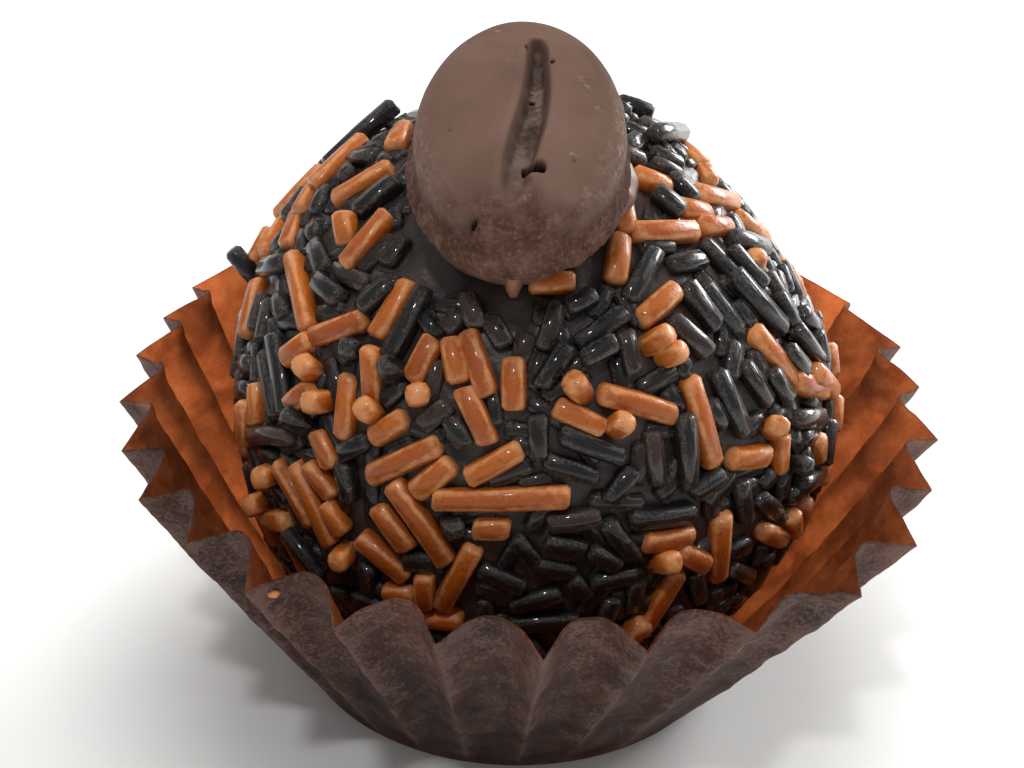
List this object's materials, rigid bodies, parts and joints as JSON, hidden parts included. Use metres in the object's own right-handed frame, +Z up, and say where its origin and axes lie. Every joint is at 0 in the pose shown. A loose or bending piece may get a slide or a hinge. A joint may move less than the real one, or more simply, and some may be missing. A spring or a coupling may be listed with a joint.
{
  "type": "brigadeiro",
  "caption": "Chocolate fudge ball rolled in dark and caramel sprinkle strands, topped with a moulded chocolate coffee bean, in a fluted brown paper case.",
  "frame": {"origin": "middle of the underside of the paper case's flat base", "axes": "+Z up out of the case; -Y is the front, the side the bean leans toward; X across"},
  "size_m": [0.0424, 0.0448, 0.0367],
  "materials": {
    "brown_paper": "thin waxed brown paper, matt with worn pale creases, glowing orange-brown where light comes through",
    "fudge_and_strands": "dark fudge under near-black and caramel-orange sugar strands with a low sheen",
    "melted_chocolate": "set melted chocolate, low sheen",
    "moulded_chocolate": "matt moulded milk chocolate with a scuffed, bubbly side"
  },
  "bodies": {
    "root": {"paper_cup": "brown_paper", "truffle": "fudge_and_strands", "chocolate_dab": "melted_chocolate", "coffee_bean": "moulded_chocolate"}
  },
  "joints": []
}
